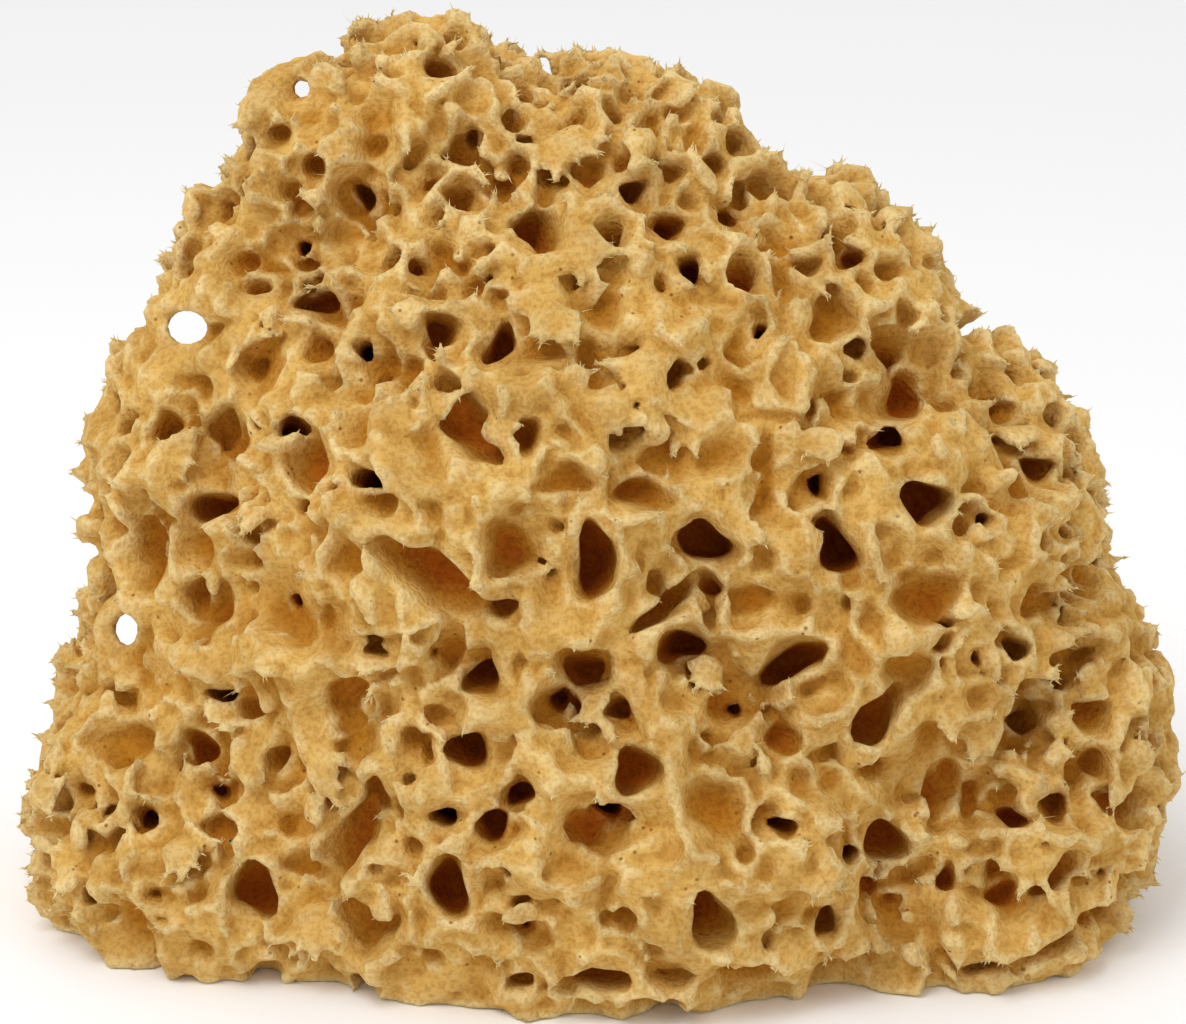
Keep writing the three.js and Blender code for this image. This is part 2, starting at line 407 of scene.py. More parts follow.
@dataclass(frozen=True)
class Opening:
    """One hole, pit or hollow in the skin. Its sizes are in millimetres.

    Attributes:
        mouth: The middle of its mouth, on the skin.
        outward: The way out of it.
        across: Roughly the way that its width is measured.
        width: How wide its mouth is.
        height: How high its mouth is.
        depth: How deep it goes.
        rim: Over how much its edge is rounded.
        bend: How far it has swerved to the side at its end, as a share of its depth.
        widening: How much farther its walls stand apart with each millimetre down.
        lobing: How far its outline swells and shrinks in lobes, as a share of its size.
        fullness: 1 for a funnel, 2 for a bowl, and more for walls that go straight down.
        sway: The share of the wobble that pushes its walls about.
    """

    mouth: np.ndarray
    outward: np.ndarray
    across: np.ndarray
    width: float
    height: float
    depth: float
    rim: float = 0.6
    bend: float = 0.0
    widening: float = 0.0
    lobing: float = 0.0
    fullness: float = 2.4
    sway: float = 0.6

    def cut(self, grid: VoxelField, wobble: list[np.ndarray]) -> None:
        """Cuts the opening into the field.

        Args:
            grid: The field.
            wobble: How far each voxel is pushed about, one grid for each axis.
        """
        # The window is centred a little way down, and reaches past the walls and the end.
        reach = self.depth * (1 + self.widening) + max(self.width, self.height) * 0.6 + MARGIN
        window = grid.window(self.mouth - self.outward * self.depth * 0.4, reach)
        if window is None:
            return
        side = unit(self.across - self.outward * (self.across @ self.outward))
        third = np.cross(self.outward, side)
        p, q, s = grid.local(window, self.mouth, np.array([side, third, -self.outward]))
        p = p + self.sway * wobble[0][window] + self.bend * np.maximum(s, 0) ** 2 / self.depth
        q = q + self.sway * wobble[1][window]
        s = s + self.sway * wobble[2][window]
        half_width, half_height = self.width / 2, self.height / 2
        down = np.clip(s / self.depth, 0, 1)
        flare = np.clip(-s, 0, 3) * 0.06
        spread = np.sqrt(1 - down**self.fullness) + flare
        spread = spread - np.maximum(s - self.depth, 0) / half_width
        before_end = down < 0.98
        spread = spread + self.widening * np.clip(s, 0, self.depth) * before_end / half_width
        ring = np.sqrt((p / half_width) ** 2 + (q / half_height) ** 2)
        if self.lobing:
            turn = float(self.mouth.sum())
            lie = (p / half_width * math.cos(turn) + q / half_height * math.sin(turn)) / np.maximum(ring, 0.1)
            three_lobes = 4 * lie**3 - 3 * lie
            two_lobes = 2 * lie**2 - 1
            ring = ring * (1 + self.lobing * three_lobes + 0.6 * self.lobing * two_lobes)
        inside = (spread - ring) * min(half_width, half_height)
        part = grid.values[window]
        grid.values[window] = smooth_max(part, inside, self.rim)

    def collar(self, grid: VoxelField, wobble: list[np.ndarray], depth: float, thickness: float) -> None:
        """Joins a ring of fibre round the opening, so that the thin skin there stays whole.

        Args:
            grid: The field.
            wobble: How far each voxel is pushed about, one grid for each axis.
            depth: How far down the opening the ring lies.
            thickness: Half of how thick the ring is.
        """
        centre = self.mouth - self.outward * depth
        window = grid.window(centre, self.width + 4 * thickness)
        if window is None:
            return
        side = unit(self.across - self.outward * (self.across @ self.outward))
        axes = np.array([side, np.cross(self.outward, side), self.outward])
        p, q, s = [v + 0.5 * w[window] for v, w in zip(grid.local(window, centre, axes), wobble)]
        mean_radius = (self.width + self.height) / 4
        ring = np.sqrt(p * p + q * q) - mean_radius - thickness
        band = np.sqrt(ring**2 + (0.5 * s) ** 2) - thickness
        grid.values[window] = smooth_min(grid.values[window], band, 1.5)


@dataclass(frozen=True)
class Flap:
    """A ragged flap of skin: a fan of points with webs between them. Its sizes are in millimetres.

    Attributes:
        tip: Where a point of length 1 ends, just at the skin.
        normal: The way out of the skin there.
        outward: The way that it points.
        across: Roughly the way that the fan is spread.
        radius: How wide its points are at the root.
        height: How long a point of length 1 is.
        spread: The angle of its outermost points, in radians.
        lengths: How long each point is, as a share of the height.
    """

    tip: np.ndarray
    normal: np.ndarray
    outward: np.ndarray
    across: np.ndarray
    radius: float
    height: float
    spread: float
    lengths: tuple[float, ...]

    def moat(self) -> Opening:
        """Lays out the shallow trough that the flap stands in.

        Returns:
            The trough, to be cut before the flap is raised.
        """
        width = 2.2 * self.radius
        mouth = self.tip + 0.35 * self.height * self.outward
        depth = self.height * 0.7
        return Opening(
            mouth, self.normal, self.across, width, width * 0.75, depth, rim=1.0, lobing=0.15, fullness=1.2
        )

    def raise_on(self, grid: VoxelField, wobble: list[np.ndarray]) -> None:
        """Joins the flap to the field.

        Args:
            grid: The field.
            wobble: How far each voxel is pushed about, one grid for each axis.
        """
        longest = 1.4
        tip_radius = 0.12
        flatness = 1.5
        root = self.tip - self.outward * self.height
        window = grid.window(root, longest * self.height + self.radius + MARGIN)
        if window is None:
            return
        side = unit(self.across - self.outward * (self.across @ self.outward))
        third = np.cross(self.outward, side)
        p, q, s = grid.local(window, root, np.array([side, third, self.outward]))
        p, q, s = p + 0.7 * wobble[0][window], q + 0.7 * wobble[1][window], s + 0.4 * wobble[2][window]
        fan = None
        for number, length in enumerate(self.lengths):
            angle = self.spread * (2 * number / max(len(self.lengths) - 1, 1) - 1)
            along = p * math.sin(angle) + s * math.cos(angle)
            aside = p * math.cos(angle) - s * math.sin(angle)
            reach = length * self.height
            share = np.clip(along / reach, 0, 1)
            beyond = np.maximum(along - reach, 0) + np.minimum(along, 0)
            off_axis = np.sqrt(aside**2 + (flatness * q) ** 2 + beyond**2)
            point = off_axis - self.radius * 0.5 * (1 - share) ** 1.5 - tip_radius
            fan = point if fan is None else smooth_min(fan, point, 0.8)
        grid.values[window] = smooth_min(grid.values[window], fan, 1.8)


class RidgeNet:
    """Cells that crowd each other on the skin. Ridges stand where two meet, and spikes where three meet."""

    def __init__(self, grid: VoxelField, wobble: list[np.ndarray]) -> None:
        """Starts with no cells.

        Args:
            grid: The grid to work on.
            wobble: How far each voxel is pushed about, one grid for each axis.
        """
        far = np.float32(1e6)
        self.grid = grid
        self.wobble = wobble
        self.nearest = [np.full(grid.shape, far, np.float32) for _ in range(3)]
        self.radius = np.ones(grid.shape, np.float32)
        self.depth = np.zeros(grid.shape, np.float32)

    def add(self, centre: np.ndarray, radius: float, depth: float) -> None:
        """Adds a cell.

        Args:
            centre: Its middle, on the skin.
            radius: Its radius, in millimetres.
            depth: How deep its floor lies, in millimetres.
        """
        # Farther off than this, the cell is hardly ever among a voxel's three nearest.
        window = self.grid.window(centre, 2.1 * radius + 4.5)
        if window is None:
            return
        offsets = self.grid.local(window, centre, np.eye(3, dtype=np.float32))
        pushed = [o + w[window] for o, w in zip(offsets, self.wobble)]
        power = pushed[0] ** 2 + pushed[1] ** 2 + pushed[2] ** 2 - np.float32(radius * radius)
        first, second, third = [n[window] for n in self.nearest]
        closer = power < first
        third[...] = np.minimum(third, np.maximum(second, power))
        second[...] = np.minimum(second, np.maximum(first, power))
        self.radius[window][closer] = radius
        self.depth[window][closer] = depth
        first[...] = np.minimum(first, power)

    def relief(
        self, wall: np.ndarray | float, sag: np.ndarray | float, spike: np.ndarray | float, bowl: float
    ) -> np.ndarray:
        """Works out how deep the skin lies below its envelope.

        Args:
            wall: Half the thickness of a ridge, in millimetres.
            sag: How far a ridge hangs between the spikes at its ends, in millimetres.
            spike: How far a spike's tip stands above that, in millimetres.
            bowl: How steeply a cell's floor leaves its walls, 1 for a cone and more for a bowl.

        Returns:
            The depth at each voxel, in millimetres.
        """
        spike_radius = 1.3
        first, second, third = self.nearest
        to_wall = (second - first) / (4 * self.radius)
        to_spike = np.maximum((third - first) / (4 * self.radius), 0)
        share = np.clip((to_wall - wall) / (self.radius * 0.8), 0, 1)
        floor = self.depth * (1 - (1 - share) ** bowl)
        hang = sag * np.minimum(to_spike / self.radius, 1)
        return floor + hang + spike * np.minimum(to_spike / spike_radius, 1) ** 0.6


class Region(Enum):
    """The kinds of skin on the sponge, by where its openings come from."""

    FACE = "the broad face, laid out by hand"
    CROWN = "the crown, the shoulders and the sides, crowded with small deep pits"
    BACK = "the back"


@dataclass(frozen=True)
class Weave:
    """How a kind of skin is woven. The pairs are the least and the most of what is drawn at random.

    Attributes:
        radius: The cells' radii, in millimetres.
        sink: How deep the cells' floors lie, as shares of the radius.
        pitted: The share of the cells that have a pit.
        depth: The pits' depths, as shares of the radius.
    """

    radius: tuple[float, float]
    sink: tuple[float, float]
    pitted: float
    depth: tuple[float, float]


@dataclass
class SpongeBody:
    """The fibre lump itself, in millimetres.

    Attributes:
        lobes: The lobes that give its outer shape.
        step: The side of a voxel.
        seed: Where the random draws start.
        low: The grid's lowest corner.
        high: The grid's highest corner.
        lobe_step: The side of the larger voxels that the lobes' distances are worked out on.
        skin_step: The side of the larger voxels that the skin's points come from.
        valley_step: The side of the larger voxels that the valleys are worked out on.
        lean_deg: How far the plane that the broad face is laid out on leans back, in degrees.
        in_front: How far in front of the leaning plane a place is clear of the lobes.
        swell: How far the skin stands out of the lobes before it is carved.
        edge_hole_reach: How far from the axis of an opening that goes right through its thin skin is spared.
        deepest_dip: How far a mouth or a flap may move in to where the skin lies once its relief is carved.
        weave: How each kind of skin is woven.
        face_openings: x, u, width, height, turn and depth of each opening of the broad face. x and u are
            places on the leaning plane, and the turn is in degrees.
        face_hollows: The wide shallow hollows of the broad face, in the same terms.
        through_openings: The openings that go right through near the left edge: x, u, width and height, and
            how far each goes to the side and up with each millimetre in.
        face_flaps: The ragged flaps of the broad face: x, u, radius, height, turn and droop.
    """

    lobes: Lobes = field(default_factory=Lobes)
    step: float = 0.5
    seed: int = 7
    low: Triple = (-82, -56, -3)
    high: Triple = (80, 55, 119)
    lobe_step: float = 2.0
    skin_step: float = 1.6
    valley_step: float = 1.2
    lean_deg: float = 18.0
    in_front: float = 110.0
    swell: float = 1.6
    edge_hole_reach: float = 6.5
    deepest_dip: float = 3.0
    weave: dict[Region, Weave] = field(
        default_factory=lambda: {
            Region.FACE: Weave((1.6, 3.4), (0.05, 0.6), 0.3, (0.8, 1.8)),
            Region.CROWN: Weave((1.9, 3.0), (0.1, 0.7), 0.85, (1.5, 2.8)),
            Region.BACK: Weave((1.7, 3.4), (0.2, 0.9), 0.6, (1.3, 2.8)),
        }
    )
    face_openings: tuple[tuple[float, ...], ...] = (
        # crown and shoulders
        (-37, 80, 2, 2, 0, 9), (-29, 87, 2.5, 4, 30, 10), (-15, 94, 1.5, 2.5, 0, 7),
        (-16, 87, 4, 3.5, 0, 6), (-7, 82, 5, 5.5, 0, 8), (-19, 70, 4, 4, 0, 8), (-12, 68, 2.5, 5.5, -15, 9),
        (-35, 73, 7, 3, 10, 9), (-29, 68, 2.5, 2, 0, 12), (4, 87, 3.5, 2.5, 0, 9), (9, 83, 3.5, 2.5, 0, 9),
        (11, 78, 2.5, 3.5, 0, 11), (17, 93, 3.5, 3.5, 0, 7), (30, 79, 4, 3, 20, 9), (31, 68, 4, 3, 0, 8),
        (19, 70, 2, 2, 0, 14), (7, 97, 3, 3, 0, 5), (12, 95, 2.5, 3.5, 0, 5), (9, 89, 3, 3, 0, 5),
        (20, 88, 3, 3.5, 0, 5), (16, 84, 3, 2.5, 0, 6), (25, 78, 3.5, 2.5, 0, 5), (37, 72, 4, 4, 0, 6),
        (-33, 72, 4.5, 3.5, 0, 4), (-26, 66, 3.5, 3.5, 0, 4), (-35, 68, 3, 3.5, 0, 4),
        (-42, 65, 2.5, 3, 0, 4), (-20, 89, 3.5, 1.5, 35, 5),
        # left flank
        (-53, 59, 4, 3.5, 0, 7), (-46, 58, 4.5, 6, 0, 5), (-38, 58, 3.5, 2.5, 20, 14),
        (-28, 52, 4.5, 3, -15, 22), (-48, 48, 7, 4, 10, 14), (-37, 36, 2, 2.5, 0, 16),
        (-47, 26, 3, 1.5, 0, 12), (-36, 50, 2, 2, 0, 5), (-26, 49, 5, 3, 0, 5),
        # right flank
        (37, 62, 6, 7.5, 0, 22), (36, 56, 4, 3.5, 0, 26), (50, 60, 5, 3, 30, 12), (54, 53, 4.5, 3, 20, 10),
        (40, 48, 6, 5.5, 0, 20), (28, 50, 1.5, 3.5, 0, 12), (29, 43, 5, 6, 20, 26),
        (48, 46, 1.5, 1.5, 0, 8), (39, 37, 8, 6, 0, 6), (41, 34, 2.5, 1, 0, 14), (54, 37, 5.5, 4.5, 0, 6),
        (51, 31, 3.5, 3.5, 0, 8), (55, 23, 3.5, 3, 0, 6), (62, 22, 6, 4, 0, 7), (62, 16, 4, 4, 0, 5),
        (60, 30, 3.5, 2.5, 20, 6), (46, 30, 1.5, 2, 0, 6),
        # middle
        (-20, 39, 5, 16, 52, 6), (-1, 42, 5, 9.5, 0, 13), (14, 44, 6.5, 4.5, 0, 17),
        (9, 37, 2.5, 11, -58, 7), (14, 39, 3.5, 2.5, -20, 9), (9, 32, 6, 4, 20, 26),
        (22, 30, 8.5, 4.5, 25, 20), (-3, 29, 4, 4.5, 0, 13), (-6, 25, 2.5, 2.5, 0, 16),
        (-14, 28, 4.5, 4, 0, 9), (-15, 20, 5.5, 4.5, 0, 12), (16, 25, 2, 2, 0, 16), (22, 22, 4.5, 4, 0, 6),
        (34, 23, 5, 8, -35, 9), (2, 24, 4, 3, 0, 8), (-12, 36, 4, 2.5, 0, 6), (-20, 31, 1.2, 1.2, 0, 6),
        (-27, 31, 3, 1.5, 0, 5), (-1, 22, 1.5, 1.5, 0, 6), (26, 27, 5.5, 2.5, 15, 5),
        # foot
        (-18, 12, 3.5, 2.5, 0, 20), (-9, 15, 2.5, 3, 0, 15), (-12, 10, 4.5, 4.5, -35, 12),
        (-18, 3, 6, 7.5, 10, 14), (-8, -3, 1.5, 1.5, 0, 12), (-29, -9, 1.5, 1.5, 0, 14),
        (-56, 10, 3, 3, 0, 16), (-47, 14, 2.5, 2, 0, 12), (-50, 19, 4, 4.5, 0, 8), (-42, 1, 5.5, 8, 10, 9),
        (-31, 8, 5.5, 12, -25, 7), (4, 17, 5.5, 6, 0, 9), (1, 12, 4.5, 2.5, -15, 30),
        (14, -1, 5.5, 7, 0, 9), (22, 11, 3.5, 2.5, 0, 10), (35, 8, 6, 6.5, 0, 16), (30, 7, 2.5, 2, 0, 16),
        (50, 11, 4.5, 2, -10, 9), (-47, 10, 3, 4, 0, 6), (-27, 14, 3.5, 4, 0, 6), (-40, 17, 3, 4, 0, 5),
        (-64, -1, 3, 2, 0, 5), (-55, 0, 2, 1.5, 0, 5), (-65, 12, 2.5, 2.5, 0, 5), (56, 12, 4, 3.5, 0, 7),
        (42, 4, 2.5, 4, 0, 6), (27, -2, 2.5, 3.5, 0, 6), (35, -1, 1.5, 1.5, 0, 6), (3, 0, 2.5, 2.5, 0, 6),
        # under the front edge
        (0, -9, 7, 2.5, 0, 7), (9, -9, 6, 2, 5, 6), (18, -9, 5, 2, -8, 7), (-9, -9, 3, 2, 0, 6),
        (-29, -10, 4, 2, 0, 6), (47, -9, 6, 2, 12, 6), (-41, -10, 5, 2, -10, 6),
    )
    face_hollows: tuple[tuple[float, ...], ...] = (
        (-29, 60, 7, 7, 0, 4), (-36, 55, 5, 7, 0, 5), (-16, 59, 7, 14, 35, 6), (-9, 57, 4, 4, 0, 5),
        (28, 73, 4.5, 7, 25, 4), (-11, 43, 7, 6.5, 0, 5), (-28, -3, 7.5, 6, 0, 5), (-60, 19, 9, 6, 15, 4.5),
        (-32, 25, 3, 3.5, 0, 6), (46, 20, 3.5, 4, 0, 5), (40, 16, 8, 11.5, 0, 5), (14, 13, 7, 7.5, 0, 5),
        (48, 2, 5, 4, 0, 6), (56, 4, 8, 4.5, 30, 6), (66, 10, 5.5, 5, 0, 6), (57, -5, 10, 2.5, 30, 6),
        (7, 65, 7, 3.5, 0, 5), (-4, 51, 8, 3.5, 10, 4), (6, 50, 7, 4, 0, 4), (9, 55, 7, 7, 0, 3),
        (-50, 44, 6, 7.5, 0, 6), (-50, 37, 3.5, 5, 0, 5), (-41, 42, 5, 6, 0, 4), (-30, 42, 6, 4.5, 0, 5),
        (-4, 6, 6, 4.5, 0, 4), (37, 28, 7, 5, 0, 4), (20, 38, 7, 4.5, 0, 3), (7, 8, 7, 4.5, 0, 3),
        (-15, -10, 5, 3.5, 0, 4),
    )
    through_openings: tuple[tuple[float, ...], ...] = (
        (-50, 70, 4.3, 3.7, -0.123, 0.055),
        (-58, 33, 2.0, 3.0, -0.143, -0.035),
        (-36, 99, 1.3, 1.4, -0.090, 0.128),
    )
    face_flaps: tuple[tuple[float, ...], ...] = (
        (-14, 95, 3, 3, 0, 0), (-2, 90, 3, 3, 20, 0), (-6, 88, 2.5, 2.5, -30, 0),
        (13, 76, 3.5, 2.5, 15, 0.2), (-1, 74, 4, 4, 10, 0.9), (-8, 69, 3.5, 3.5, -20, 0.2),
        (-4, 67, 3, 3, 30, 0.3), (7, 66, 3.5, 4, 0, 0.4), (3, 60, 4.5, 4.5, -30, 0.3),
        (4, 56, 4, 4, 40, 0.5), (21, 64, 3.5, 3.5, 60, -0.3), (14, 57, 4.5, 4, 50, 0.3),
        (-9, 57, 2.5, 3, 80, 0), (-42, 34, 7.5, 8, 170, -0.5), (-45, 26, 4, 4, 0, 0.2),
        (-30, 14, 3, 3.5, 60, 0), (-21, 57, 4, 3.5, 70, 0.2), (-23, 44, 4, 3, 40, 0),
        (-28, 51, 3.5, 3, -40, 0), (-39, 17, 3, 3, 90, 0), (-46, 13, 3, 3.5, 70, 0), (27, 53, 3, 2.5, 0, 0),
        (51, 26, 3.5, 3, 90, 0), (55, 37, 3.5, 3, 60, 0), (33, 21, 2.5, 3, 90, 0),
        (45, 17, 4, 3.5, -20, 0.8), (51, 2, 4.5, 4, -30, 0.9), (0, 21, 3, 2.5, 0, 0),
        (-18, -5, 4.5, 3, 0, 0.4), (-34, -7, 4, 3.5, 0, 0.6), (6, 1, 2.5, 2.5, 90, 0),
        (-16, 60, 3, 3, 80, 0), (-35, 70, 3.5, 3, 0, 0), (-42, 67, 3, 3, 40, 0), (-49, 54, 4, 3, 90, 0),
        (37, 68, 3.5, 3, 0, 0), (27, 73, 3.5, 3, 40, 0), (60, 42, 3.5, 3.5, 90, 0),
        (11, 27, 3, 2.5, -40, 0), (18, 31, 2.5, 2.5, 20, 0), (25, 2, 3.5, 2.5, 0, 0.4),
        (-50, 3, 3.5, 3, 30, 0), (-66, 12, 3, 3, 90, 0),
    )

    def __post_init__(self) -> None:
        """Starts the random draws and lays out the leaning plane's directions."""
        self.rng = np.random.default_rng(self.seed)
        lean = math.radians(self.lean_deg)
        self.sideways = np.array([1.0, 0, 0])
        self.into_face = np.array([0, math.cos(lean), -math.sin(lean)])
        self.up_face = np.array([0, math.sin(lean), math.cos(lean)])
        self.edge_holes = [self.through_opening(row) for row in self.through_openings]

    def build(self) -> "Growth":
        """Grows the field and cuts it.

        Returns:
            The field and its envelope.
        """
        grid = VoxelField(self.low, self.high, self.step)
        grid.fill_from(self.lobes, self.lobe_step)
        envelope = grid.values
        skin, normals = self.skin_points()
        wobble = self.wobble(grid)
        LOG.info("lobes and noise done")
        openings = [self.face_opening(row, 0.7) for row in self.face_openings]
        hollows = [self.face_opening(row, 0.9) for row in self.face_hollows]
        valleys = self.valleys(grid, skin, normals)
        LOG.info("valleys done")
        relief, pits = self.crowd(grid, wobble, skin, normals, openings + hollows, valleys)
        LOG.info("ridges done")
        # Each noise is given by its height and by the size that it changes over, in millimetres.
        lumps = 1.6 * (grid.noise(20, self.rng) + 0.3) + 1.2 * (grid.noise(9, self.rng) + 0.2)
        fine = 0.22 * grid.noise(1.9, self.rng) + 0.14 * grid.noise(1.1, self.rng)
        grid.values = envelope - self.swell + relief + np.maximum(lumps, 0) + fine
        # Where the field is too steep, it is made to measure distances again.
        steep = np.sqrt(sum(g * g for g in np.gradient(grid.values, self.step)))
        grid.values /= np.maximum(steep, 1)
        del steep
        flaps = [self.face_flap(row) for row in self.face_flaps]
        flaps += self.spread_flaps(skin, normals)
        sunk = np.clip(grid.sample(grid.values, np.array([flap.tip for flap in flaps])), 0, self.deepest_dip)
        flaps = [replace(flap, tip=flap.tip - gap * flap.normal) for flap, gap in zip(flaps, sunk)]
        for opening in [flap.moat() for flap in flaps] + self.settled(grid, hollows + pits):
            opening.cut(grid, wobble)
        for flap in flaps:
            flap.raise_on(grid, wobble)
        LOG.info("%d flaps raised", len(flaps))
        for opening in self.settled(grid, openings + self.back_openings(skin, normals)):
            opening.cut(grid, wobble)
        self.cut_edge_holes(grid, wobble)
        LOG.info("openings cut")
        floor = grid.axis(2)[None, None, :]
        grid.values = np.maximum(grid.values, -floor)
        return Growth(grid, envelope)

    def wobble(self, grid: VoxelField) -> list[np.ndarray]:
        """Draws how far each voxel is pushed about, so that nothing is straight or round.

        Args:
            grid: The grid, filled with the lobes' distances.

        Returns:
            The push in millimetres, one grid for each axis. Deeper in, openings lean more to one side.
        """
        lean = [grid.noise(16, self.rng) for _ in range(3)]
        under = np.clip(-grid.values, 0, 8)
        return [
            1.3 * grid.noise(6.5, self.rng) + 0.65 * grid.noise(2.6, self.rng) + 0.45 * way * under
            for way in lean
        ]

    def cut_edge_holes(self, grid: VoxelField, wobble: list[np.ndarray]) -> None:
        """Cuts the openings that go right through, each with a ring of fibre round it.

        Args:
            grid: The field.
            wobble: How far each voxel is pushed about, one grid for each axis. It bends only the rings.
        """
        straight = [np.zeros(grid.shape, np.float32)] * 3
        for hole in self.edge_holes:
            hole.collar(grid, wobble, depth=9.0, thickness=1.4)
            hole.cut(grid, straight)

    def by_edge_hole(self, points: np.ndarray) -> np.ndarray:
        """Tells which points lie in the thin skin round an opening that goes right through.

        Args:
            points: The points, one row each.

        Returns:
            True or false for each point.
        """
        near = np.full(len(points), self.edge_hole_reach)
        for hole in self.edge_holes:
            near = np.minimum(near, np.linalg.norm(np.cross(points - hole.mouth, hole.outward), axis=1))
        return near < self.edge_hole_reach

    def settled(self, grid: VoxelField, openings: list[Opening]) -> list[Opening]:
        """Returns the openings with their mouths moved in to where the skin now lies."""
        gaps = np.clip(grid.sample(grid.values, np.array([o.mouth for o in openings])), 0, self.deepest_dip)
        return [replace(o, mouth=o.mouth - o.outward * gap) for o, gap in zip(openings, gaps)]

    def skin_points(self) -> tuple[np.ndarray, np.ndarray]:
        """Spreads points over the lobes' skin.

        Returns:
            The points, in a random order, and their outward directions.
        """
        coarse = VoxelField(self.low, self.high, self.skin_step)
        coarse.fill_from(self.lobes, self.skin_step)
        points, _ = coarse.surface()
        points = points[self.rng.permutation(len(points))]
        return points, self.lobes.slopes(points)

    def face_opening(self, row: tuple[float, ...], rim: float) -> Opening:
        """Lays out one opening of the broad face.

        Args:
            row: Its row in the list.
            rim: Over how many millimetres its edge is rounded.

        Returns:
            The opening, its mouth where the line through its place meets the skin.
        """
        x, u, width, height, turn, depth = row
        start = np.array([x, 0.0, 0.0]) + self.up_face * u - self.into_face * self.in_front
        along = np.arange(0, 2 * self.in_front, 0.5)
        outside = self.lobes.outside((start + along[:, None] * self.into_face).astype(np.float32))
        mouth = start + along[np.argmax(outside <= 0)] * self.into_face
        angle = math.radians(turn)
        across = np.array([math.cos(angle), 0, 0]) + self.up_face * math.sin(angle)
        normal = self.lobes.slopes(mouth[None].astype(np.float32))[0]
        outward = unit(-self.into_face + 0.3 * normal)
        bend = self.rng.uniform(-0.12, 0.12)
        # A deep opening is dark enough when it is cut shallower, and it runs into fewer others.
        deep = 10
        depth = depth if depth < deep else 7.5 + 0.3 * depth
        return Opening(mouth, outward, across, width, height, depth, rim, bend, lobing=0.12)

    def through_opening(self, row: tuple[float, ...]) -> Opening:
        """Lays out one opening that goes right through.

        Args:
            row: Its row in the list.

        Returns:
            The opening, wider the farther in it is.
        """
        x, u, width, height, aside, up = row
        depth = 80
        place = self.face_opening((x, u, width, height, 0, depth), 0.5)
        into = unit(self.into_face + aside * self.sideways + up * self.up_face)
        return Opening(place.mouth, -into, self.sideways, width, height, depth, 0.5, widening=0.05)

    def flap(
        self, tip: np.ndarray, normal: np.ndarray, lean: np.ndarray, radius: float, height: float
    ) -> Flap:
        """Makes a ragged flap with a random number of points, leaning over like a shingle.

        Args:
            tip: A place on the skin, where its points come up.
            normal: The way out of the skin there.
            lean: The way that it leans, longer for more.
            radius: How wide its points are at the root.
            height: How long its points are.

        Returns:
            The flap.
        """
        points = int(self.rng.integers(3, 7))
        lengths = tuple(self.rng.uniform(0.7, 1.5, points))
        outward = unit(normal + lean)
        across = np.cross(normal, lean)
        spread = 0.22 * points
        return Flap(tip + 0.1 * normal, normal, outward, across, radius, height, spread, lengths)

    def face_flap(self, row: tuple[float, ...]) -> Flap:
        """Lays out one flap of the broad face.

        Args:
            row: Its row in the list.

        Returns:
            The flap, its tip where the line through its place meets the skin.
        """
        x, u, radius, height, turn, droop = row
        place = self.face_opening((x, u, radius, radius, turn, height), 1.0)
        angle = math.radians(turn)
        lean = math.sin(angle) * self.sideways - math.cos(angle) * self.up_face
        return self.flap(place.mouth, place.outward, lean * (1.5 + droop), radius, 1.4 * height)

    def spread_flaps(self, skin: np.ndarray, normals: np.ndarray) -> list[Flap]:
        """Spreads smaller flaps all over, closer together off the broad face.

        Args:
            skin: Points over the skin.
            normals: Their outward directions.

        Returns:
            The flaps.
        """
        lowest, face_spacing, spacing_elsewhere = 9, 13, 9
        made, centres = [], np.full((1, 3), NOWHERE)
        for point, normal in zip(skin[::-1], normals[::-1]):
            spacing = face_spacing if self.region(point, normal) is Region.FACE else spacing_elsewhere
            if point[2] < lowest or np.linalg.norm(centres - point, axis=1).min() < spacing:
                continue
            centres = np.vstack([centres, point])
            lean = unit(np.cross(normal, self.rng.normal(0, 1, 3))) * self.rng.uniform(0.5, 1.6)
            radius, height = self.rng.uniform(1.4, 2.6), self.rng.uniform(1.6, 3.0)
            made.append(self.flap(point, normal, lean, radius, height))
        return made

    def region(self, point: np.ndarray, normal: np.ndarray) -> Region:
        """Tells the kinds of skin apart.

        Args:
            point: A point on the skin.
            normal: Its outward direction.

        Returns:
            The kind of skin there.
        """
        crown_height = 84
        backward, sideward, upward = 0.3, 0.66, 0.75
        if normal[1] > backward:
            return Region.BACK
        if point[2] > crown_height or abs(normal[0]) > sideward or normal[2] > upward:
            return Region.CROWN
        return Region.FACE

